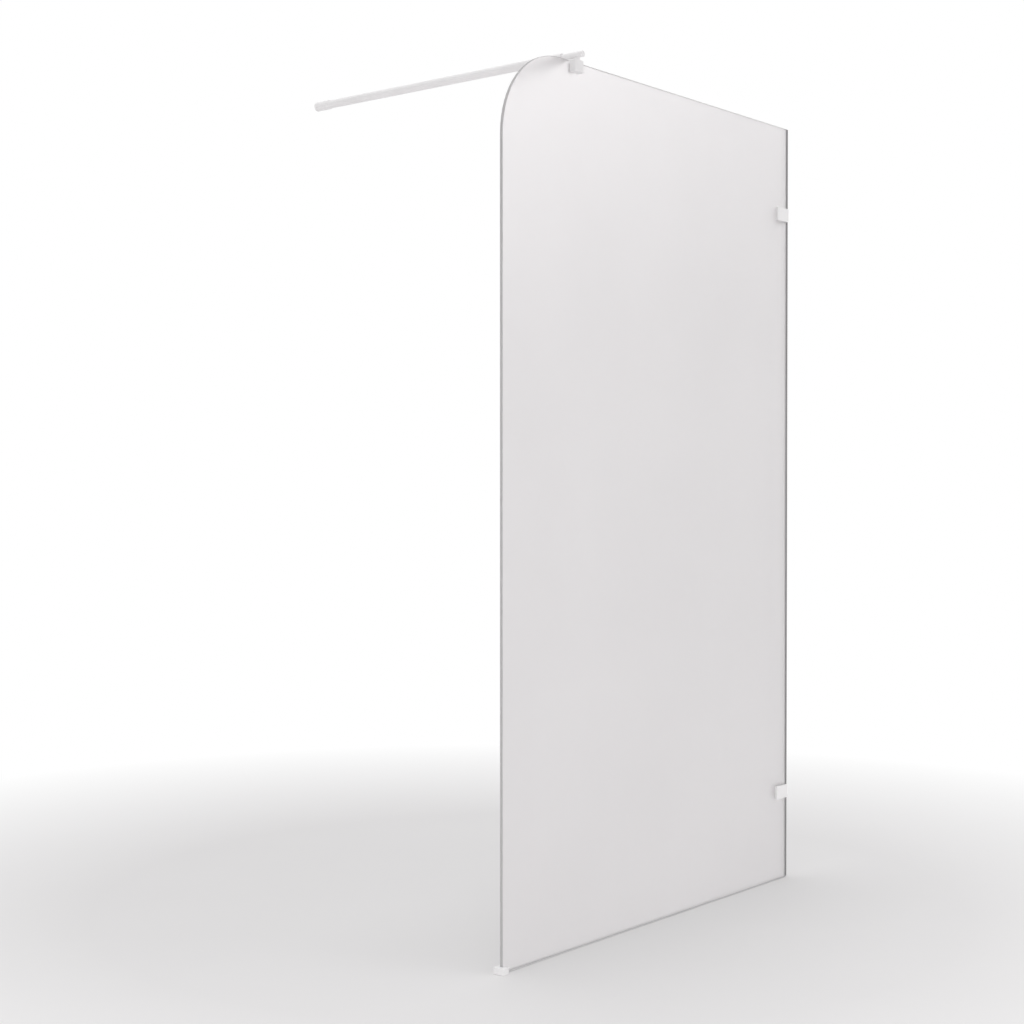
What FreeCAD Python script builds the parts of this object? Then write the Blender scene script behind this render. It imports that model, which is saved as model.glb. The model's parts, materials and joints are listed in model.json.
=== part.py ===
import FreeCAD, Part
import os
import re
import Sketcher
from FreeCAD import Rotation, Vector

# Fixed walk-in screen: a flat satin glass panel with one large rounded top corner, held by two wall
# clamps, one floor clamp and a bar to the opposite wall.
# X runs along the glass from its free edge to the wall, -Y is the outer side, +Z is up.
# The origin is the centre of the floor clamp's base. Sizes are in millimetres and degrees.

SIZES = [
    ("glass_width", 1190, "glass, free edge to wall edge"),
    ("glass_height", 1997, "glass, bottom edge to top edge"),
    ("glass_thickness", 8, "glass thickness"),
    ("glass_corner_radius", 200, "rounded top corner at the free edge"),
    ("glass_arris", 0.8, "ground bevel along the glass edges"),
    ("glass_hole_diameter", 10, "drilled holes in the glass"),
    ("wall_gap", 8, "glass edge to the wall"),
    ("wall_seal_width", 7, "wall seal, across the glass"),
    ("wall_seal_skin", 1, "wall seal, thickness of its hollow section"),
    ("bottom_seal_width", 8, "bottom seal, across the glass"),
    ("bottom_seal_lip", 1.5, "bottom seal, width of each lip"),
    ("bottom_seal_arch", 1.2, "bottom seal, height of the channel between its lips"),
    ("seal_end_gap", 0.5, "bottom seal, gap to the floor clamp"),
    ("foot_length", 21, "floor clamp, along the glass"),
    ("foot_width", 28, "floor clamp, across the glass"),
    ("foot_height", 15, "floor clamp, height"),
    ("foot_end", 10, "floor clamp, solid end in front of the glass edge"),
    ("foot_base", 2, "floor clamp, base under the liner"),
    ("foot_corner", 2, "floor clamp, rounded upright corners"),
    ("liner_thickness", 1, "floor clamp, rubber liner"),
    ("liner_setback", 0.5, "floor clamp, liner below the top of the block"),
    ("floor_hole_diameter", 4.5, "floor clamp, hole for the floor screw"),
    ("floor_head_diameter", 8.2, "floor clamp, recess for the floor screw's head"),
    ("floor_seat", 8, "floor clamp, height of the head's seat"),
    ("cap_thickness", 1.5, "floor clamp, cap over the recess"),
    ("grub_diameter", 5, "floor clamp, grub screw"),
    ("grub_length", 8, "floor clamp, grub screw"),
    ("grub_level", 9, "floor clamp, height of the grub screw"),
    ("clamp_length", 54, "wall clamp, along the glass"),
    ("clamp_height", 35, "wall clamp, height"),
    ("clamp_inset", 230, "wall clamp, centre to the nearer end of the glass"),
    ("outer_plate_thickness", 5, "wall clamp, outer plate"),
    ("outer_plate_bevel", 1.2, "wall clamp, bevel of the outer plate"),
    ("bracket_thickness", 6, "wall clamp, bracket"),
    ("bracket_leg", 40, "wall clamp, wall leg from the jaw's glass side"),
    ("bracket_setback", 16, "wall clamp, bracket's jaw short of the outer plate's free end"),
    ("bracket_root", 4, "wall clamp, radius inside the bracket's corner"),
    ("wall_hole_diameter", 5.5, "wall clamp, holes for the wall screws"),
    ("wall_head_diameter", 10.5, "wall clamp, countersinks for the wall screws"),
    ("wall_hole_spacing", 18, "wall clamp, distance between the wall screws"),
    ("clamp_thread", 4, "wall clamp, screw's reach into the outer plate"),
    ("gasket_thickness", 1, "gaskets on both faces of the glass"),
    ("gasket_inset", 0.5, "gaskets, set back from the metal's edges"),
    ("screw_diameter", 6, "clamp screws"),
    ("screw_head_diameter", 11.5, "clamp screws, countersunk head"),
    ("screw_clearance", 0.25, "clamp screws, radial gap in plain holes"),
    ("sleeve_clearance", 0.15, "glass sleeves, radial gap in the glass"),
    ("edge_rounding", 0.8, "small rounding of the metal edges"),
    ("bar_clamp_offset", 250, "bar clamp, centre to the free edge of the glass"),
    ("bar_clamp_width", 30, "bar clamp, along the glass"),
    ("bar_clamp_depth", 17, "bar clamp, outer block across the glass"),
    ("bar_clamp_height", 27, "bar clamp, height"),
    ("bar_clamp_rise", 1, "bar clamp, top above the glass"),
    ("bar_clamp_corner", 4, "bar clamp, rounded upright corners of the block"),
    ("bar_plate_width", 16, "bar clamp, inner plate along the glass"),
    ("bar_plate_height", 21, "bar clamp, inner plate, height"),
    ("bar_plate_drop", 3, "bar clamp, inner plate below the top of the glass"),
    ("bar_plate_thickness", 6, "bar clamp, inner plate across the glass"),
    ("bar_hole_drop", 15, "bar clamp, screw below the top of the glass"),
    ("bar_clamp_thread", 10, "bar clamp, screw's reach into the block"),
    ("neck_diameter", 12, "swivel neck"),
    ("neck_height", 6.5, "swivel neck, block to the rod's flat"),
    ("pivot_diameter", 5, "swivel screw"),
    ("pivot_head_diameter", 8.5, "swivel screw, head"),
    ("pivot_head_height", 4, "swivel screw, head"),
    ("pivot_head_sink", 2, "swivel screw, head below the rod's top"),
    ("pivot_thread", 10, "swivel screw, reach into the block"),
    ("pivot_tip_gap", 0.5, "swivel screw, room below its tip"),
    ("running_gap", 0.05, "gap between pieces that turn or slide"),
    ("head_clearance", 0.25, "swivel screw, radial gap around its head"),
    ("rod_diameter", 14, "end rod"),
    ("rod_flat", 1, "end rod, depth of the flat on the neck"),
    ("rod_tip", 17.5, "end rod, swivel axis to its tip"),
    ("rod_reach", 41.5, "end rod, swivel axis to the tube"),
    ("rod_chamfer", 0.8, "end rod, chamfer at the tip"),
    ("plug_length", 30, "end rod, plug inside the tube"),
    ("tube_diameter", 20, "bar tube"),
    ("tube_wall", 1.5, "bar tube, wall thickness"),
    ("tube_chamfer", 0.4, "bar tube, edge at the rod"),
    ("wall_distance", 814, "middle of the glass to the bar's wall"),
    ("boss_base", 8, "wall boss, thickness of its base"),
    ("boss_spigot", 35, "wall boss, spigot inside the tube"),
    ("boss_floor", 6, "wall boss, seat of the wall screw"),
    ("boss_hole_diameter", 5.5, "wall boss, hole for the wall screw"),
    ("boss_bore_diameter", 9, "wall boss, bore for the screw's head"),
    ("ring_section", 1.5, "O-ring, thickness"),
    ("ring_offset", 4, "O-ring, centre to the wall"),
    ("ring_room", 0.2, "O-ring, extra width of its groove"),
    ("lock_diameter", 5, "lock screw"),
    ("lock_length", 3.7, "lock screw"),
    ("lock_sink", 0.5, "lock screw, below the tube's surface"),
    ("lock_offset", 22, "lock screw, centre to the wall"),
    ("cover_length", 45, "cover sleeve"),
    ("cover_wall", 1.2, "cover sleeve, wall thickness"),
    ("cover_groove_offset", 30, "cover sleeve, wall to its groove"),
    ("cover_groove_width", 5, "cover sleeve, groove"),
    ("cover_groove_depth", 0.5, "cover sleeve, groove"),
    ("cover_chamfer", 0.5, "cover sleeve, edges"),
    ("socket_flats", 4, "hex sockets of the large screws"),
    ("socket_depth", 2.5, "hex sockets of the large screws"),
    ("grub_flats", 2.5, "hex sockets of the grub screws"),
    ("grub_socket_depth", 2, "hex sockets of the grub screws"),
]
ALIASES = {alias for alias, number, note in SIZES}

doc = FreeCAD.newDocument("WalkInScreen")
sheet = doc.addObject("Spreadsheet::Sheet", "Sizes")
for row, (alias, number, note) in enumerate(SIZES, start=1):
    sheet.set(f"A{row}", note)
    sheet.set(f"B{row}", str(number))
    sheet.setAlias(f"B{row}", alias)
doc.recompute()

# Positions that follow from the sizes, as expressions
GLASS_EDGE = "(foot_end + liner_thickness - foot_length / 2)"
GLASS_END = f"({GLASS_EDGE} + glass_width)"
GLASS_BOTTOM = "(foot_base + liner_thickness)"
GLASS_TOP = f"({GLASS_BOTTOM} + glass_height)"
GLASS_FACE = "(glass_thickness / 2)"
SEAL_ROUNDING = "((wall_seal_width - wall_seal_skin) / 2)"
JAW_FACE = "(glass_thickness / 2 + gasket_thickness)"
CLAMP_X = f"({GLASS_END} - clamp_length / 2)"
CLAMP_LEVELS = {
    "upper": f"({GLASS_TOP} - clamp_inset)",
    "lower": f"({GLASS_BOTTOM} + clamp_inset)",
}
BAR_X = f"({GLASS_EDGE} + bar_clamp_offset)"
BAR_CLAMP_TOP = f"({GLASS_TOP} + bar_clamp_rise)"
BAR_SCREW_Z = f"({GLASS_TOP} - bar_hole_drop)"
PIVOT_Y = f"(-{JAW_FACE} - bar_clamp_depth / 2)"
BAR_Z = f"({BAR_CLAMP_TOP} + neck_height + rod_diameter / 2 - rod_flat)"
TUBE_START = f"({PIVOT_Y} + rod_reach)"
TUBE_LENGTH = f"(wall_distance - boss_base - {TUBE_START})"
TUBE_BORE = "(tube_diameter / 2 - tube_wall)"

# Directions in which a turned piece's own Z axis points
UP = Rotation()
DOWN = Rotation(Vector(1, 0, 0), 180)
INWARD = Rotation(Vector(1, 0, 0), -90)
OUTWARD = Rotation(Vector(1, 0, 0), 90)

NEAR = 1e-4
pieces = []


def bound(text):
    """Point every size name in an expression at the sheet."""
    return re.sub(r"[a-z_]+", lambda word: ("Sizes." if word[0] in ALIASES else "") + word[0], text)


def size(text):
    """Present value of an expression."""
    return float(sheet.evalExpression(text))


def place(piece, at, turn=UP):
    """Label, turn and position a sub-part."""
    piece.Placement.Rotation = turn
    for axis, text in zip("xyz", at):
        piece.setExpression(f"Placement.Base.{axis}", bound(text))
    pieces.append(piece)
    doc.recompute()


def new_body(label, at, turn=UP):
    body = doc.addObject("PartDesign::Body", label)
    body.Label = label
    place(body, at, turn)
    return body


def new_sketch(body, plane, level="0"):
    """Empty sketch on one of the body's own planes, raised along the plane's normal."""
    sketch = body.newObject("Sketcher::SketchObject", body.Name + "_sketch")
    origin = [feature for feature in body.Origin.OriginFeatures if feature.Role == plane]
    sketch.AttachmentSupport = [(origin[0], "")]
    sketch.MapMode = "FlatFace"
    sketch.setExpression("AttachmentOffset.Base.z", bound(level))
    return sketch


def dimension(sketch, text, kind, *where):
    """Dimension bound to the sheet."""
    index = sketch.addConstraint(Sketcher.Constraint(kind, *where, size(text)))
    name = f"size_{index}"
    sketch.renameConstraint(index, name)
    sketch.setExpression("Constraints." + name, bound(text))


def locate(sketch, geometry, point, across, up):
    """Fix a point of the sketch by its distances from the sketch's origin."""
    for kind, axis, text in (("DistanceX", -2, across), ("DistanceY", -1, up)):
        if text == "0":
            sketch.addConstraint(Sketcher.Constraint("PointOnObject", geometry, point, axis))
        else:
            dimension(sketch, text, kind, -1, 1, geometry, point)


def polygon(sketch, corners):
    """Closed outline through the given corners."""
    points = [Vector(size(across), size(up), 0) for across, up in corners]
    count = len(points)
    for index in range(count):
        line = Part.LineSegment(points[index], points[(index + 1) % count])
        sketch.addGeometry(line, False)
    for index in range(count):
        sketch.addConstraint(Sketcher.Constraint("Coincident", index, 2, (index + 1) % count, 1))
    for index, (across, up) in enumerate(corners):
        locate(sketch, index, 1, across, up)


def rectangle(sketch, left, right, low, high):
    polygon(sketch, [(left, low), (right, low), (right, high), (left, high)])


def circle(sketch, across, up, diameter):
    centre = Vector(size(across), size(up), 0)
    index = sketch.addGeometry(Part.Circle(centre, Vector(0, 0, 1), size(diameter) / 2), False)
    locate(sketch, index, 3, across, up)
    dimension(sketch, diameter, "Diameter", index)


def hexagon(sketch, flats):
    """Regular hexagon around the sketch's origin."""
    corner_radius = size(flats) / 3 ** 0.5
    turns = [Rotation(Vector(0, 0, 1), 60 * step) for step in range(6)]
    points = [turn.multVec(Vector(corner_radius, 0, 0)) for turn in turns]
    for index in range(6):
        sketch.addGeometry(Part.LineSegment(points[index], points[(index + 1) % 6]), False)
    guide = sketch.addGeometry(Part.Circle(Vector(), Vector(0, 0, 1), corner_radius), True)
    sketch.addConstraint(Sketcher.Constraint("Coincident", guide, 3, -1, 1))
    dimension(sketch, f"2 * {flats} / sqrt(3)", "Diameter", guide)
    for index in range(6):
        sketch.addConstraint(Sketcher.Constraint("Coincident", index, 2, (index + 1) % 6, 1))
        sketch.addConstraint(Sketcher.Constraint("PointOnObject", index, 1, guide))
    for index in range(1, 5):
        sketch.addConstraint(Sketcher.Constraint("Equal", 0, index))
    sketch.addConstraint(Sketcher.Constraint("PointOnObject", 0, 1, -1))


def pad(body, sketch, length, sides="One side", backward=False):
    feature = body.newObject("PartDesign::Pad", body.Name + "_pad")
    feature.Profile = sketch
    feature.SideType = sides
    feature.Reversed = backward
    feature.setExpression("Length", bound(length))
    doc.recompute()


def pocket(body, sketch, depth=None, backward=False):
    """Cut the sketch into the body, or right through it on both sides."""
    before = body.Shape.Volume
    feature = body.newObject("PartDesign::Pocket", body.Name + "_pocket")
    feature.Profile = sketch
    feature.Reversed = backward
    if depth:
        feature.setExpression("Length", bound(depth))
    else:
        feature.Type = "ThroughAll"
        feature.SideType = "Symmetric"
    doc.recompute()
    if body.Shape.Volume > before - NEAR:
        raise ValueError(f"{feature.Name} cuts nothing")


def drill(body, plane, level, centres, diameter, depth=None, head=None, backward=False):
    """Round holes from one plane, blind or through, with or without a countersink."""
    sketch = new_sketch(body, plane, level)
    for across, up in centres:
        circle(sketch, across, up, diameter)
    doc.recompute()
    before = body.Shape.Volume
    feature = body.newObject("PartDesign::Hole", body.Name + "_hole")
    feature.Profile = sketch
    doc.recompute()
    feature.Reversed = backward
    feature.DepthType = "Dimension" if depth else "ThroughAll"
    feature.DrillPoint = "Flat"
    feature.setExpression("Diameter", bound(diameter))
    if depth:
        feature.setExpression("Depth", bound(depth))
    if head:
        feature.HoleCutType = "Countersink"
        feature.HoleCutCustomValues = True
        feature.HoleCutCountersinkAngle = 90
        feature.setExpression("HoleCutDiameter", bound(head))
    doc.recompute()
    if body.Shape.Volume > before - NEAR:
        raise ValueError(f"{feature.Name} cuts nothing")


def ease(body, kind, amount, test):
    """Fillet or chamfer the edges that pass the test, which is given each edge's box and middle."""
    tip = body.Tip
    names = []
    for number, edge in enumerate(tip.Shape.Edges, start=1):
        if test(edge.BoundBox, edge.BoundBox.Center):
            names.append(f"Edge{number}")
    feature = body.newObject("PartDesign::" + kind, body.Name + "_" + kind.lower())
    feature.Base = (tip, names)
    feature.setExpression("Radius" if kind == "Fillet" else "Size", bound(amount))
    doc.recompute()


def at_level(value, low, high):
    """True when an edge lies flat at one level."""
    return abs(low - value) < NEAR and abs(high - value) < NEAR


def turned(label, profile, at, turn=UP):
    """Piece turned about its own Z axis from a profile of radius and height."""
    body = new_body(label, at, turn)
    sketch = new_sketch(body, "XZ_Plane")
    polygon(sketch, profile)
    feature = body.newObject("PartDesign::Revolution", label + "_revolution")
    feature.Profile = sketch
    feature.ReferenceAxis = (sketch, ["V_Axis"])
    feature.Angle = 360
    doc.recompute()
    return body


def hex_socket(body, flats, depth):
    """Hex socket in the end of a screw that starts at its own origin."""
    sketch = new_sketch(body, "XY_Plane")
    hexagon(sketch, flats)
    pocket(body, sketch, depth, backward=True)


def grub_screw(label, diameter, length, at, turn):
    body = turned(label, [
        ("0", "0"),
        (f"{diameter} / 2", "0"),
        (f"{diameter} / 2", length),
        ("0", length),
    ], at, turn)
    hex_socket(body, "grub_flats", "grub_socket_depth")


def countersunk_screw(label, length, at):
    """Screw with its head flush in an inner plate and its tip towards the outer side."""
    body = turned(label, [
        ("0", "0"),
        ("screw_head_diameter / 2", "0"),
        ("screw_diameter / 2", "(screw_head_diameter - screw_diameter) / 2"),
        ("screw_diameter / 2", length),
        ("0", length),
    ], at, OUTWARD)
    hex_socket(body, "socket_flats", "socket_depth")


def gasket(label, left, right, low, high, at, backward):
    """Thin sheet between the glass and a metal jaw, given by the jaw's sides around the clamp screw."""
    body = new_body(label, at)
    sketch = new_sketch(body, "XZ_Plane")
    rectangle(
        sketch, f"{left} + gasket_inset", f"{right} - gasket_inset",
        f"{low} + gasket_inset", f"{high} - gasket_inset",
    )
    pad(body, sketch, "gasket_thickness", backward=backward)
    cut = new_sketch(body, "XZ_Plane")
    circle(cut, "0", "0", "screw_diameter + 2 * screw_clearance")
    pocket(body, cut)


def glass_sleeve(label, at):
    """Ring that keeps a clamp screw off the glass."""
    inner = "screw_diameter / 2 + screw_clearance"
    outer = "glass_hole_diameter / 2 - sleeve_clearance"
    turned(label, [
        (inner, "0"),
        (outer, "0"),
        (outer, "glass_thickness"),
        (inner, "glass_thickness"),
    ], at, OUTWARD)


# Glass panel
glass = new_body("glass_panel", (GLASS_EDGE, "0", GLASS_BOTTOM))
outline = new_sketch(glass, "XZ_Plane")
rectangle(outline, "0", "glass_width", "0", "glass_height")
pad(glass, outline, "glass_thickness", sides="Symmetric")
ease(
    glass, "Fillet", "glass_corner_radius",
    lambda box, middle: at_level(0, box.XMin, box.XMax)
    and at_level(size("glass_height"), box.ZMin, box.ZMax),
)
ease(
    glass, "Chamfer", "glass_arris",
    lambda box, middle: box.YLength < NEAR,
)
holes = new_sketch(glass, "XZ_Plane")
circle(holes, "glass_width - clamp_length / 2", "clamp_inset", "glass_hole_diameter")
circle(holes, "glass_width - clamp_length / 2", "glass_height - clamp_inset", "glass_hole_diameter")
circle(holes, "bar_clamp_offset", "glass_height - bar_hole_drop", "glass_hole_diameter")
pocket(glass, holes)

# Hollow seal along the wall
wall_seal = new_body("wall_seal", (GLASS_END, "0", GLASS_BOTTOM))
section = new_sketch(wall_seal, "XY_Plane")
rectangle(section, "0", "wall_gap", "-wall_seal_width / 2", "wall_seal_width / 2")
pad(wall_seal, section, "glass_height")
hollow = new_sketch(wall_seal, "XY_Plane")
rectangle(
    hollow, "wall_seal_skin", "wall_gap - wall_seal_skin",
    "wall_seal_skin - wall_seal_width / 2", "wall_seal_width / 2 - wall_seal_skin",
)
pocket(wall_seal, hollow)
ease(
    wall_seal, "Fillet", f"{SEAL_ROUNDING} - wall_seal_skin",
    lambda box, middle: at_level(size("wall_gap - wall_seal_skin"), box.XMin, box.XMax)
    and box.ZLength > NEAR,
)
ease(
    wall_seal, "Fillet", SEAL_ROUNDING,
    lambda box, middle: at_level(size("wall_gap"), box.XMin, box.XMax) and box.ZLength > NEAR,
)

# Seal under the glass, two lips with a channel between them
bottom_seal = new_body("bottom_seal", ("foot_length / 2 + seal_end_gap", "0", "0"))
section = new_sketch(bottom_seal, "YZ_Plane")
polygon(section, [
    ("-bottom_seal_width / 2", "0"),
    ("bottom_seal_lip - bottom_seal_width / 2", "0"),
    ("bottom_seal_lip - bottom_seal_width / 2", "bottom_seal_arch"),
    ("bottom_seal_width / 2 - bottom_seal_lip", "bottom_seal_arch"),
    ("bottom_seal_width / 2 - bottom_seal_lip", "0"),
    ("bottom_seal_width / 2", "0"),
    ("bottom_seal_width / 2", GLASS_BOTTOM),
    ("-bottom_seal_width / 2", GLASS_BOTTOM),
])
pad(bottom_seal, section, f"{GLASS_END} - foot_length / 2 - seal_end_gap")


def wall_clamp(side, level):
    """Wall clamp: bracket inside, plain plate outside, screw through the glass."""
    bracket = new_body(f"{side}_clamp_bracket", (f"{GLASS_END} + wall_gap", JAW_FACE, level))
    plan = new_sketch(bracket, "XY_Plane")
    jaw_end = "(bracket_setback - wall_gap - clamp_length)"
    polygon(plan, [
        ("0", "0"),
        ("0", "bracket_leg"),
        ("-bracket_thickness", "bracket_leg"),
        ("-bracket_thickness", "bracket_thickness"),
        (jaw_end, "bracket_thickness"),
        (jaw_end, "0"),
    ])
    pad(bracket, plan, "clamp_height", sides="Symmetric")
    thickness = size("bracket_thickness")
    ease(
        bracket, "Fillet", "bracket_root",
        lambda box, middle: at_level(-thickness, box.XMin, box.XMax)
        and at_level(thickness, box.YMin, box.YMax),
    )
    ease(
        bracket, "Fillet", "edge_rounding",
        lambda box, middle: box.ZLength < NEAR and box.XMin < -NEAR and box.YMax > NEAR
        or at_level(size(jaw_end), box.XMin, box.XMax) and at_level(thickness, box.YMin, box.YMax)
        or at_level(-thickness, box.XMin, box.XMax)
        and at_level(size("bracket_leg"), box.YMin, box.YMax),
    )
    leg_middle = "(bracket_leg + bracket_thickness) / 2"
    drill(
        bracket, "YZ_Plane", "-bracket_thickness",
        [(leg_middle, "wall_hole_spacing / 2"), (leg_middle, "-wall_hole_spacing / 2")],
        "wall_hole_diameter", head="wall_head_diameter", backward=True,
    )
    drill(
        bracket, "XZ_Plane", "-bracket_thickness", [("-wall_gap - clamp_length / 2", "0")],
        "screw_diameter + 2 * screw_clearance", head="screw_head_diameter", backward=True,
    )

    plate = new_body(f"{side}_clamp_plate", (CLAMP_X, f"-{JAW_FACE}", level))
    face = new_sketch(plate, "XZ_Plane")
    rectangle(face, "-clamp_length / 2", "clamp_length / 2", "-clamp_height / 2", "clamp_height / 2")
    pad(plate, face, "outer_plate_thickness")
    ease(plate, "Fillet", "outer_plate_bevel", lambda box, middle: box.YLength > NEAR)
    ease(
        plate, "Chamfer", "outer_plate_bevel",
        lambda box, middle: at_level(-size("outer_plate_thickness"), box.YMin, box.YMax),
    )
    drill(plate, "XZ_Plane", "0", [("0", "0")], "screw_diameter", depth="clamp_thread", backward=True)

    gasket(
        f"{side}_clamp_outer_gasket", "-clamp_length / 2", "clamp_length / 2",
        "-clamp_height / 2", "clamp_height / 2", (CLAMP_X, f"-{GLASS_FACE}", level), False,
    )
    gasket(
        f"{side}_clamp_inner_gasket", "bracket_setback - clamp_length / 2", "clamp_length / 2",
        "-clamp_height / 2", "clamp_height / 2", (CLAMP_X, GLASS_FACE, level), True,
    )
    glass_sleeve(f"{side}_clamp_sleeve", (CLAMP_X, GLASS_FACE, level))
    countersunk_screw(
        f"{side}_clamp_screw",
        "bracket_thickness + 2 * gasket_thickness + glass_thickness + clamp_thread",
        (CLAMP_X, f"{JAW_FACE} + bracket_thickness", level),
    )


for side, level in CLAMP_LEVELS.items():
    wall_clamp(side, level)

# Floor clamp block with its slot, floor screw hole and grub screw hole
foot = new_body("floor_clamp_block", ("0", "0", "0"))
plan = new_sketch(foot, "XY_Plane")
rectangle(plan, "-foot_length / 2", "foot_length / 2", "-foot_width / 2", "foot_width / 2")
pad(foot, plan, "foot_height")
ease(foot, "Fillet", "foot_corner", lambda box, middle: box.ZLength > NEAR)
ease(
    foot, "Fillet", "edge_rounding",
    lambda box, middle: at_level(size("foot_height"), box.ZMin, box.ZMax),
)
slot_half = "(glass_thickness / 2 + liner_thickness)"
slot = new_sketch(foot, "XY_Plane", "foot_height")
rectangle(slot, "foot_end - foot_length / 2", "foot_length", f"-{slot_half}", slot_half)
pocket(foot, slot, "foot_height - foot_base")
floor_screw = [("(foot_end - foot_length) / 2", "0")]
drill(foot, "XY_Plane", "foot_height", floor_screw, "floor_head_diameter", depth="foot_height - floor_seat")
drill(foot, "XY_Plane", "floor_seat", floor_screw, "floor_hole_diameter", head="floor_head_diameter")
drill(
    foot, "XZ_Plane", "-foot_width / 2", [("foot_end / 2", "grub_level")],
    "grub_diameter", depth=f"foot_width / 2 - {slot_half}", backward=True,
)

liner = new_body("floor_clamp_liner", ("foot_end - foot_length / 2", "0", "foot_base"))
plan = new_sketch(liner, "XY_Plane")
rectangle(plan, "0", "foot_length - foot_end", f"-{slot_half}", slot_half)
liner_height = "(foot_height - foot_base - liner_setback)"
pad(liner, plan, liner_height)
seat = new_sketch(liner, "XY_Plane", liner_height)
rectangle(seat, "liner_thickness", "foot_length", f"-{GLASS_FACE}", GLASS_FACE)
pocket(liner, seat, f"{liner_height} - liner_thickness")

grub_screw(
    "floor_clamp_grub_screw", "grub_diameter", "grub_length",
    ("foot_end / 2", f"{slot_half} + grub_length", "grub_level"), OUTWARD,
)
turned("floor_clamp_cap", [
    ("0", "0"),
    ("floor_head_diameter / 2", "0"),
    ("floor_head_diameter / 2", "cap_thickness"),
    ("0", "cap_thickness"),
], ("(foot_end - foot_length) / 2", "0", "foot_height - cap_thickness"))

# Bar clamp: outer block with the swivel hole, inner plate, screw through the glass
block = new_body("bar_clamp_block", (BAR_X, PIVOT_Y, BAR_CLAMP_TOP))
plan = new_sketch(block, "XY_Plane")
rectangle(
    plan, "-bar_clamp_width / 2", "bar_clamp_width / 2", "-bar_clamp_depth / 2", "bar_clamp_depth / 2",
)
pad(block, plan, "bar_clamp_height", backward=True)
ease(
    block, "Fillet", "bar_clamp_corner",
    lambda box, middle: box.ZLength > NEAR and middle.y < 0,
)
ease(
    block, "Fillet", "edge_rounding",
    lambda box, middle: box.ZLength < NEAR and box.YMin < size("bar_clamp_depth") / 2 - NEAR,
)
drill(
    block, "XY_Plane", "0", [("0", "0")], "pivot_diameter + 2 * running_gap",
    depth="pivot_thread + pivot_tip_gap",
)
drill(
    block, "XZ_Plane", "-bar_clamp_depth / 2", [("0", "-bar_clamp_rise - bar_hole_drop")],
    "screw_diameter", depth="bar_clamp_thread", backward=True,
)

plate_top = "(bar_hole_drop - bar_plate_drop)"
plate_low = f"({plate_top} - bar_plate_height)"
plate = new_body("bar_clamp_inner_plate", (BAR_X, JAW_FACE, BAR_SCREW_Z))
face = new_sketch(plate, "XZ_Plane")
rectangle(face, "-bar_plate_width / 2", "bar_plate_width / 2", plate_low, plate_top)
pad(plate, face, "bar_plate_thickness", backward=True)
ease(plate, "Fillet", "outer_plate_bevel", lambda box, middle: box.YLength > NEAR)
ease(
    plate, "Chamfer", "outer_plate_bevel",
    lambda box, middle: at_level(size("bar_plate_thickness"), box.YMin, box.YMax),
)
drill(
    plate, "XZ_Plane", "-bar_plate_thickness", [("0", "0")],
    "screw_diameter + 2 * screw_clearance", head="screw_head_diameter", backward=True,
)

gasket(
    "bar_clamp_outer_gasket", "-bar_clamp_width / 2", "bar_clamp_width / 2",
    "bar_hole_drop + bar_clamp_rise - bar_clamp_height", "bar_hole_drop",
    (BAR_X, f"-{GLASS_FACE}", BAR_SCREW_Z), False,
)
gasket(
    "bar_clamp_inner_gasket", "-bar_plate_width / 2", "bar_plate_width / 2", plate_low, plate_top,
    (BAR_X, GLASS_FACE, BAR_SCREW_Z), True,
)
glass_sleeve("bar_clamp_sleeve", (BAR_X, GLASS_FACE, BAR_SCREW_Z))
countersunk_screw(
    "bar_clamp_screw",
    "bar_plate_thickness + 2 * gasket_thickness + glass_thickness + bar_clamp_thread",
    (BAR_X, f"{JAW_FACE} + bar_plate_thickness", BAR_SCREW_Z),
)

# Swivel: neck on the block, end rod with a flat on the neck, screw down through both
turned("swivel_neck", [
    ("pivot_diameter / 2 + running_gap", "0"),
    ("neck_diameter / 2", "0"),
    ("neck_diameter / 2", "neck_height - running_gap"),
    ("pivot_diameter / 2 + running_gap", "neck_height - running_gap"),
], (BAR_X, PIVOT_Y, f"{BAR_CLAMP_TOP} + running_gap"))

rod_length = "(rod_tip + rod_reach)"
rod = turned("bar_end_rod", [
    ("0", "0"),
    ("rod_diameter / 2 - rod_chamfer", "0"),
    ("rod_diameter / 2", "rod_chamfer"),
    ("rod_diameter / 2", rod_length),
    (TUBE_BORE, rod_length),
    (TUBE_BORE, f"{rod_length} + plug_length"),
    ("0", f"{rod_length} + plug_length"),
], (BAR_X, f"{PIVOT_Y} - rod_tip", BAR_Z), INWARD)
flat = new_sketch(rod, "YZ_Plane")
rectangle(
    flat, "rod_diameter / 2 - rod_flat", "rod_diameter",
    "rod_tip - neck_diameter / 2 - edge_rounding", "rod_tip + neck_diameter / 2 + edge_rounding",
)
pocket(rod, flat)
drill(
    rod, "XZ_Plane", "rod_diameter / 2", [("0", "rod_tip")],
    "pivot_head_diameter + 2 * head_clearance", depth="pivot_head_sink + pivot_head_height",
)
drill(rod, "XZ_Plane", "rod_diameter / 2", [("0", "rod_tip")], "pivot_diameter + 2 * running_gap")

pivot_length = "(rod_diameter - pivot_head_sink - rod_flat + neck_height + pivot_thread)"
pivot = turned("swivel_screw", [
    ("0", "0"),
    ("pivot_head_diameter / 2", "0"),
    ("pivot_head_diameter / 2", "pivot_head_height"),
    ("pivot_diameter / 2", "pivot_head_height"),
    ("pivot_diameter / 2", pivot_length),
    ("0", pivot_length),
], (BAR_X, PIVOT_Y, f"{BAR_Z} + rod_diameter / 2 - pivot_head_sink"), DOWN)
hex_socket(pivot, "socket_flats", "socket_depth")

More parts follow.
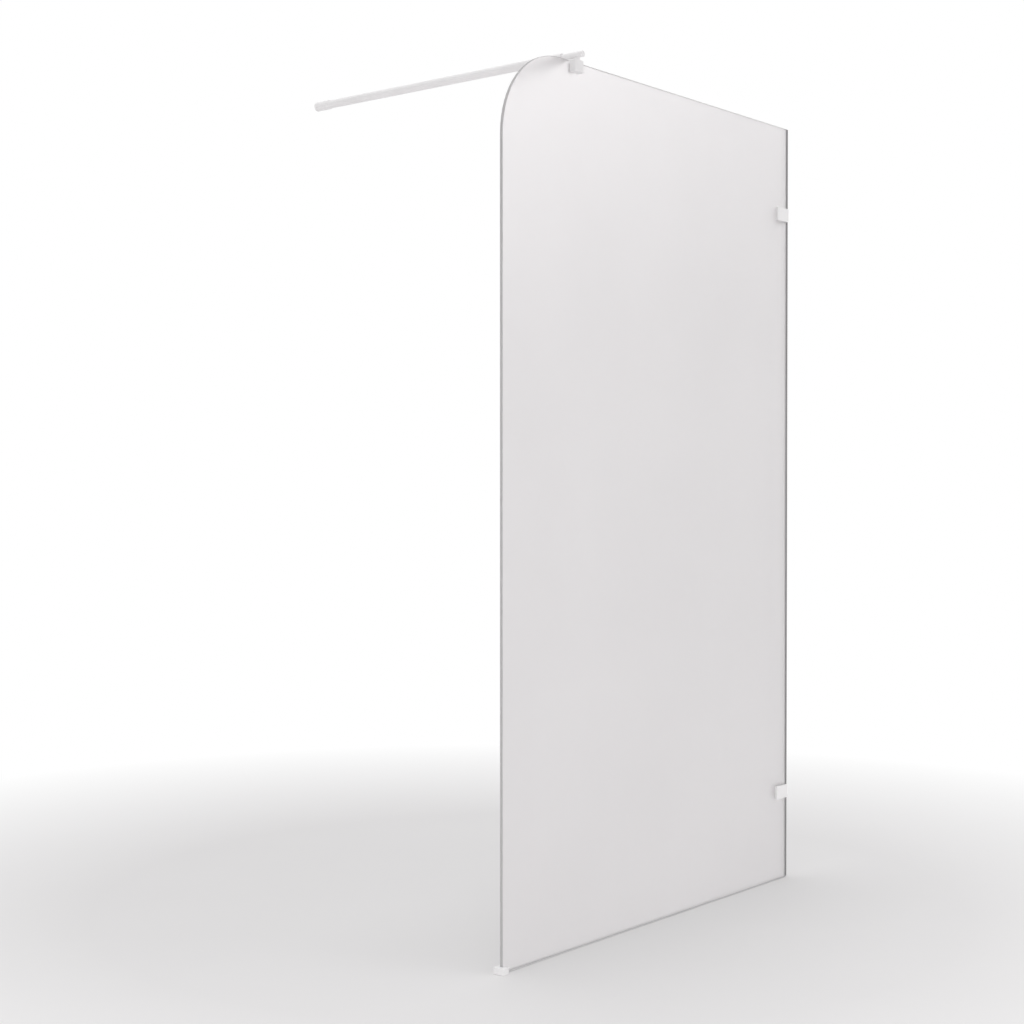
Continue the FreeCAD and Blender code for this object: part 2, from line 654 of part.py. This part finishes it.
# Bar tube with the hole of its lock screw
tube = turned("bar_tube", [
    (TUBE_BORE, "0"),
    ("tube_diameter / 2 - tube_chamfer", "0"),
    ("tube_diameter / 2", "tube_chamfer"),
    ("tube_diameter / 2", TUBE_LENGTH),
    (TUBE_BORE, TUBE_LENGTH),
], (BAR_X, TUBE_START, BAR_Z), INWARD)
drill(
    tube, "XZ_Plane", "-tube_diameter / 2", [("0", f"{TUBE_LENGTH} + boss_base - lock_offset")],
    "lock_diameter", depth="tube_diameter / 2", backward=True,
)

# Wall boss: base with the O-ring groove, spigot with the seat of the lock screw
ring_low = "(ring_offset - ring_section / 2 - ring_room / 2)"
ring_high = "(ring_offset + ring_section / 2 + ring_room / 2)"
ring_floor = "(tube_diameter / 2 - ring_section)"
boss = turned("wall_boss", [
    ("boss_hole_diameter / 2", "0"),
    ("tube_diameter / 2", "0"),
    ("tube_diameter / 2", ring_low),
    (ring_floor, ring_low),
    (ring_floor, ring_high),
    ("tube_diameter / 2", ring_high),
    ("tube_diameter / 2", "boss_base"),
    (TUBE_BORE, "boss_base"),
    (TUBE_BORE, "boss_base + boss_spigot"),
    ("boss_bore_diameter / 2", "boss_base + boss_spigot"),
    ("boss_bore_diameter / 2", "boss_floor"),
    ("boss_hole_diameter / 2", "boss_floor"),
], (BAR_X, "wall_distance", BAR_Z), OUTWARD)
drill(
    boss, "XZ_Plane", "tube_diameter / 2", [("0", "lock_offset")], "lock_diameter",
    depth="lock_sink + lock_length",
)
grub_screw(
    "bar_lock_screw", "lock_diameter", "lock_length",
    (BAR_X, "wall_distance - lock_offset", f"{BAR_Z} - tube_diameter / 2 + lock_sink"), UP,
)

ring = doc.addObject("Part::Torus", "cover_ring")
ring.Label = "cover_ring"
ring.setExpression("Radius1", bound("tube_diameter / 2 - ring_section / 2"))
ring.setExpression("Radius2", bound("ring_section / 2"))
place(ring, (BAR_X, "wall_distance - ring_offset", BAR_Z), OUTWARD)

# Cover sleeve that slides along the tube
cover_bore = "(tube_diameter / 2 + running_gap)"
cover_outside = f"({cover_bore} + cover_wall)"
groove_floor = f"({cover_outside} - cover_groove_depth)"
turned("wall_cover_sleeve", [
    (cover_bore, "0"),
    (cover_outside, "0"),
    (cover_outside, "cover_groove_offset"),
    (groove_floor, "cover_groove_offset"),
    (groove_floor, "cover_groove_offset + cover_groove_width"),
    (cover_outside, "cover_groove_offset + cover_groove_width"),
    (cover_outside, "cover_length - cover_chamfer"),
    (f"{cover_outside} - cover_chamfer", "cover_length"),
    (cover_bore, "cover_length"),
], (BAR_X, "wall_distance", BAR_Z), OUTWARD)

doc.recompute()
for item in doc.Objects:
    if "Invalid" in item.State or "Error" in item.State:
        raise ValueError(f"{item.Name} failed: {item.State}")

os.makedirs("parts", exist_ok=True)
for piece in pieces:
    if piece.Shape.isNull() or not piece.Shape.isValid():
        raise ValueError(f"{piece.Label} has no valid shape")
    piece.Shape.exportStep(f"parts/{piece.Label}.step")
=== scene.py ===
import json
import math
import bpy
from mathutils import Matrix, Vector

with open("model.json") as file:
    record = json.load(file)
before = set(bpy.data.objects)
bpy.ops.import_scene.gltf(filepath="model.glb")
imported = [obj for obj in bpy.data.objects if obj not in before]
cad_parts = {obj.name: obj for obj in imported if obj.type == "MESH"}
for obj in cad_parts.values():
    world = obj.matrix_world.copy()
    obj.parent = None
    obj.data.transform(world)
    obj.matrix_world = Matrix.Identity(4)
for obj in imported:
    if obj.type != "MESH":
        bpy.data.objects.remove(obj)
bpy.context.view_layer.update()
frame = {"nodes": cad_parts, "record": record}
nodes = frame["nodes"]

# Camera of the photograph, in the CAD frame: place and reach in metres, heading in plan and pitch in
# degrees, lens and sensor in millimetres
CAMERA_PLACE = Vector((-2.8199, -2.3382, 1.0419))
CAMERA_HEADING = 50.702
CAMERA_PITCH = -0.779
CAMERA_LENS = 60.197
CAMERA_SENSOR = 36.0
CAMERA_REACH = 200.0

# Even light of the studio, and its lamps: name, place, target and width in metres, power in watts
WORLD_LIGHT = 0.62
LAMPS = (
    ("ceiling", (0.4, 0.3, 11.0), (0.4, 0.3, 0.0), 6.0, 320.0),
    ("left", (-4.5, 0.2, 1.2), (0.3, 0.2, 1.0), 2.5, 30.0),
    ("front", (1.6, -2.8, 0.9), (1.0, 0.0, 1.0), 2.5, 22.0),
    ("low", (-1.6, -1.5, 0.5), (0.0, 0.0, 0.0), 0.8, 5.0),
)

# Soft brighter patch of the studio, seen through the glass at its rounded corner: direction, cosines at
# the patch's rim and near its middle, and extra strength
GLOW_SIDE = (0.710, 0.565, 0.420)
GLOW_SPAN = (0.956, 0.998)
GLOW = 1.1

# Floor in metres: side, middle, and the distances between which it runs out into white; and how white it
# is through the glass
FLOOR_SIDE = 60.0
FLOOR_MIDDLE = (0.6, 0.4, -0.0005)
FLOOR_FADE = (1.1, 2.6)
FLOOR_THROUGH_GLASS = 0.95

# Colours: a pair is the dark and the light end of a surface's clouding or streaks
WHITE = (1.0, 1.0, 1.0, 1.0)
COAT = ((0.850, 0.838, 0.843), (0.892, 0.880, 0.885))
COAT_SPECK = (0.800, 0.788, 0.793)
COAT_WORN = (0.91, 0.91, 0.91)
GLASS_FACE = ((0.811, 0.791, 0.798), (0.843, 0.823, 0.830))
GLASS_ETCH = (0.786, 0.767, 0.773)
# Glass edges: painted shade, a dark grey in place of the dark look into the glass's depth; the pair
# spans the grinding streaks
GLASS_EDGE_PAINTED_SHADE = ((0.475, 0.465, 0.470), (0.535, 0.525, 0.530))
GREY_SEAL = ((0.225, 0.220, 0.222), (0.275, 0.270, 0.272))
PALE_SEAL = ((0.580, 0.570, 0.574), (0.655, 0.645, 0.649))
GASKET = ((0.85, 0.855, 0.855), (0.90, 0.905, 0.905))
PLASTIC = ((0.80, 0.80, 0.80), (0.84, 0.84, 0.84))
NYLON = ((0.80, 0.79, 0.74), (0.86, 0.85, 0.81))
STEEL = ((0.56, 0.56, 0.565), (0.66, 0.66, 0.66))
STEEL_WORN = (0.76, 0.76, 0.76)
FLOOR = ((0.775, 0.764, 0.768), (0.795, 0.784, 0.788))

# Spans of values: all of a factor, most of a noise, and the middle of a noise
WHOLE = (0.0, 1.0)
MOST = (0.3, 0.7)
MIDDLE = (0.35, 0.65)

# Sockets of a Mix node that mixes colours
MIX_FACTOR, MIX_FIRST, MIX_SECOND, MIX_RESULT = 0, 6, 7, 2


def wire(tree, node, inputs):
    """Inputs of a node by name or number: a socket is linked, a value is set."""
    for key, value in inputs.items():
        if isinstance(value, bpy.types.NodeSocket):
            tree.links.new(value, node.inputs[key])
        else:
            node.inputs[key].default_value = value


def add(tree, kind, inputs=None, **settings):
    """New shader node with its settings and its inputs."""
    node = tree.nodes.new("ShaderNode" + kind)
    for key, value in settings.items():
        setattr(node, key, value)
    wire(tree, node, inputs or {})
    return node


def new_material(name):
    """Material, its node tree and the Principled shader on its output."""
    material = bpy.data.materials.new(name)
    material.use_nodes = True
    tree = material.node_tree
    return material, tree, tree.nodes["Principled BSDF"]


def place_of(tree, stretch=(1, 1, 1)):
    """Position on the part in metres, scaled along the axes."""
    place = add(tree, "TexCoord").outputs["Object"]
    return add(tree, "Mapping", {"Vector": place, "Scale": stretch}).outputs["Vector"]


def noise(tree, place, scale, detail=3.0):
    """Noise between 0 and 1; scale is in waves per metre."""
    return add(tree, "TexNoise", {"Vector": place, "Scale": scale, "Detail": detail}).outputs["Fac"]


def maths(tree, operation, *values):
    """Result of a Math node."""
    return add(tree, "Math", dict(enumerate(values)), operation=operation).outputs[0]


def ranged(tree, value, span, target=WHOLE, **settings):
    """Value mapped from one span to another, held at its ends."""
    node = add(tree, "MapRange", {
        "Value": value, "From Min": span[0], "From Max": span[1],
        "To Min": target[0], "To Max": target[1],
    }, **settings)
    return node.outputs["Result"]


def blend(tree, factor, first, second):
    """Colour between two others; each is a socket or red, green and blue."""
    first, second = (
        end if isinstance(end, bpy.types.NodeSocket) else (*end, 1.0) for end in (first, second)
    )
    inputs = {MIX_FACTOR: factor, MIX_FIRST: first, MIX_SECOND: second}
    return add(tree, "Mix", inputs, data_type="RGBA").outputs[MIX_RESULT]


def bump(tree, height, strength, distance, normal=None):
    """Normal bent by a height, on top of another bump's normal where one is given."""
    inputs = {"Height": height, "Strength": strength, "Distance": distance}
    if normal:
        inputs["Normal"] = normal
    return add(tree, "Bump", inputs).outputs["Normal"]


def edge_mask(tree, radius):
    """One along convex and concave edges, zero on flat faces."""
    soft = add(tree, "Bevel", {"Radius": radius}, samples=6).outputs["Normal"]
    flat = add(tree, "NewGeometry").outputs["Normal"]
    match = add(tree, "VectorMath", {0: soft, 1: flat}, operation="DOT_PRODUCT").outputs["Value"]
    return ranged(tree, match, (0.80, 0.99), (1.0, 0.0))


def powder_coat():
    """Matt white powder coat: fine orange peel, faint clouding, a little wear along the edges."""
    material, tree, shader = new_material("white_powder_coat")
    place = place_of(tree)
    cloud = noise(tree, place, scale=14.0)
    peel = noise(tree, place, scale=1000.0, detail=2.0)
    grain = noise(tree, place, scale=5200.0, detail=2.0)
    colour = blend(tree, ranged(tree, cloud, MIDDLE), *COAT)
    speck = ranged(tree, grain, (0.62, 0.74), (0.0, 0.25))
    colour = blend(tree, speck, colour, COAT_SPECK)
    chance = ranged(tree, peel, (0.45, 0.7))
    worn = maths(tree, "MULTIPLY", edge_mask(tree, radius=0.0006), chance)
    normal = bump(tree, peel, strength=0.8, distance=0.0002)
    wire(tree, shader, {
        "Base Color": blend(tree, worn, colour, COAT_WORN),
        "Roughness": ranged(tree, peel, MOST, (0.40, 0.56)),
        "Normal": bump(tree, grain, strength=0.35, distance=0.00005, normal=normal),
    })
    return material


def satin_glass():
    """Satin-etched glass: fine etch grain and faint clouding on the faces; edges painted darker as
    shade, with grinding streaks along them.
    """
    material, tree, shader = new_material("satin_glass")
    place = place_of(tree)
    normal = add(tree, "TexCoord").outputs["Normal"]
    facing = maths(tree, "ABSOLUTE", add(tree, "SeparateXYZ", {"Vector": normal}).outputs["Y"])
    rim = ranged(tree, facing, (0.55, 0.95), (1.0, 0.0))
    cloud = noise(tree, place, scale=2.2, detail=4.0)
    etch = noise(tree, place, scale=2600.0, detail=2.0)
    ground = noise(tree, place_of(tree, stretch=(0.03, 1, 0.03)), scale=1400.0, detail=2.0)
    face = blend(tree, ranged(tree, cloud, MIDDLE), *GLASS_FACE)
    face = blend(tree, ranged(tree, etch, (0.60, 0.75), (0.0, 0.4)), face, GLASS_ETCH)
    # Painted shade: the edge faces get a dark grey in place of the dark look into the glass's depth,
    # streaked along by the grinding noise
    edge_shade = blend(tree, ranged(tree, ground, MIDDLE), *GLASS_EDGE_PAINTED_SHADE)
    face_roughness = ranged(tree, cloud, MOST, (0.32, 0.37))
    wire(tree, shader, {
        "Base Color": blend(tree, rim, face, edge_shade),
        "Roughness": ranged(tree, rim, WHOLE, (face_roughness, 0.60)),
        "Transmission Weight": ranged(tree, rim, WHOLE, (0.9, 0.25)),
        "IOR": 1.5,
        "Normal": bump(tree, etch, strength=0.20, distance=0.00003),
    })
    return material


def soft_rubber(name, dark, light, stretch=(1, 1, 1)):
    """Rubber: faint streaks, long where it is extruded, matt bloom and fine grain."""
    material, tree, shader = new_material(name)
    streak = noise(tree, place_of(tree, stretch), scale=260.0)
    place = place_of(tree)
    bloom = noise(tree, place, scale=40.0, detail=4.0)
    grain = noise(tree, place, scale=3800.0, detail=2.0)
    colour = blend(tree, ranged(tree, streak, MOST), dark, light)
    normal = bump(tree, streak, strength=0.10, distance=0.0001)
    wire(tree, shader, {
        "Base Color": blend(tree, ranged(tree, bloom, (0.5, 0.75), (0.0, 0.3)), colour, light),
        "Roughness": ranged(tree, bloom, MOST, (0.52, 0.70)),
        "Normal": bump(tree, grain, strength=0.15, distance=0.00004, normal=normal),
    })
    return material


def moulded_plastic(name, dark, light):
    """Moulded plastic: faint flow clouding and spark-eroded grain."""
    material, tree, shader = new_material(name)
    place = place_of(tree)
    flow = noise(tree, place, scale=55.0)
    grain = noise(tree, place, scale=3000.0)
    wire(tree, shader, {
        "Base Color": blend(tree, ranged(tree, flow, MOST), dark, light),
        "Roughness": ranged(tree, grain, MOST, (0.38, 0.52)),
        "Subsurface Weight": 0.05,
        "Normal": bump(tree, grain, strength=0.14, distance=0.00005),
    })
    return material


def stainless():
    """Turned stainless steel: fine tool marks, brighter worn edges."""
    material, tree, shader = new_material("stainless_steel")
    marks = noise(tree, place_of(tree, stretch=(1, 12, 1)), scale=900.0)
    cloud = noise(tree, place_of(tree), scale=90.0)
    colour = blend(tree, ranged(tree, cloud, MOST), *STEEL)
    wire(tree, shader, {
        "Base Color": blend(tree, edge_mask(tree, radius=0.0003), colour, STEEL_WORN),
        "Metallic": 1.0,
        "Roughness": ranged(tree, marks, MOST, (0.24, 0.42)),
        "Normal": bump(tree, marks, strength=0.18, distance=0.00003),
    })
    return material


# Looks by the record's material slots; the seals' streaks run along them
LOOKS = {
    "satin_glass": satin_glass(),
    "white_coat": powder_coat(),
    "white_plastic": moulded_plastic("white_plastic", *PLASTIC),
    "grey_seal": soft_rubber("grey_seal", *GREY_SEAL, stretch=(1, 1, 0.02)),
    "pale_seal": soft_rubber("pale_seal", *PALE_SEAL, stretch=(0.02, 1, 1)),
    "gasket_rubber": soft_rubber("gasket_rubber", *GASKET),
    "nylon": moulded_plastic("natural_nylon", *NYLON),
    "stainless": stainless(),
}
for entry in frame["record"]["subparts"]:
    for slot in nodes[entry["node"]].material_slots:
        slot.material = LOOKS[entry["material_slot"]]

# Satin glass passes scattered light on to what lies against it
nodes["glass_panel"].visible_diffuse = False


def sight(tree):
    """Factors: one for a ray that shows the background itself, and one for a ray through the glass."""
    path = add(tree, "LightPath")
    through = path.outputs["Is Transmission Ray"]
    seen = maths(tree, "MAXIMUM", path.outputs["Is Camera Ray"], path.outputs["Is Glossy Ray"])
    return maths(tree, "MAXIMUM", seen, through), through


def stage_floor():
    """Plain pale floor that keeps the shadow and runs out into the white background."""
    bpy.ops.mesh.primitive_plane_add(size=FLOOR_SIDE, location=FLOOR_MIDDLE)
    floor = bpy.context.object
    floor.name = "stage_floor"
    material, tree, shader = new_material("pale_floor")
    place = place_of(tree)
    tone = noise(tree, place, scale=3.0, detail=4.0)
    wire(tree, shader, {"Base Color": blend(tree, tone, *FLOOR), "Roughness": 0.75})
    distance = add(tree, "VectorMath", {0: place}, operation="LENGTH").outputs["Value"]
    seen, through = sight(tree)
    far_share = maths(tree, "MULTIPLY", seen, ranged(tree, distance, FLOOR_FADE))
    glass_share = ranged(tree, through, WHOLE, (0.0, FLOOR_THROUGH_GLASS))
    share = maths(tree, "MAXIMUM", far_share, glass_share)
    white = add(tree, "Emission", {"Color": WHITE, "Strength": 1.0})
    mixed = add(tree, "MixShader", {0: share, 1: shader.outputs[0], 2: white.outputs[0]})
    wire(tree, tree.nodes["Material Output"], {"Surface": mixed.outputs[0]})
    floor.data.materials.append(material)


def studio_world():
    """White background for what sees it directly, plain even light for the rest."""
    world = bpy.data.worlds.new("studio")
    bpy.context.scene.world = world
    world.use_nodes = True
    tree = world.node_tree
    seen, through = sight(tree)
    strength = ranged(tree, seen, WHOLE, (WORLD_LIGHT, 1.0))
    side = add(tree, "TexCoord").outputs["Generated"]
    toward = add(tree, "VectorMath", {0: side, 1: GLOW_SIDE}, operation="DOT_PRODUCT")
    glow = ranged(
        tree, toward.outputs["Value"], GLOW_SPAN, (0.0, GLOW), interpolation_type="SMOOTHSTEP",
    )
    glow = maths(tree, "MULTIPLY", glow, through)
    wire(tree, tree.nodes["Background"], {
        "Color": WHITE, "Strength": maths(tree, "ADD", strength, glow),
    })


def soft_lamp(name, place, target, size, power):
    """Large soft lamp pointed at a spot on the part; only its light is seen, not its disc."""
    data = bpy.data.lights.new(name, "AREA")
    data.shape = "DISK"
    data.size = size
    data.energy = power
    lamp = bpy.data.objects.new(name, data)
    lamp.location = place
    lamp.visible_camera = False
    lamp.visible_transmission = False
    lamp.visible_glossy = False
    lamp.rotation_mode = "QUATERNION"
    lamp.rotation_quaternion = (Vector(target) - Vector(place)).to_track_quat("-Z", "Y")
    bpy.context.scene.collection.objects.link(lamp)


def photo_camera():
    """Camera fitted to the photograph."""
    heading = math.radians(CAMERA_HEADING)
    pitch = math.radians(CAMERA_PITCH)
    ahead = Vector((
        math.sin(heading) * math.cos(pitch), math.cos(heading) * math.cos(pitch), math.sin(pitch),
    ))
    data = bpy.data.cameras.new("photo_camera")
    data.sensor_width = CAMERA_SENSOR
    data.lens = CAMERA_LENS
    data.clip_end = CAMERA_REACH
    camera = bpy.data.objects.new("photo_camera", data)
    camera.location = CAMERA_PLACE
    camera.rotation_mode = "QUATERNION"
    camera.rotation_quaternion = ahead.to_track_quat("-Z", "Y")
    bpy.context.scene.collection.objects.link(camera)
    bpy.context.scene.camera = camera


stage_floor()
studio_world()
for lamp_values in LAMPS:
    soft_lamp(*lamp_values)
photo_camera()
bpy.context.scene.view_settings.view_transform = "Standard"
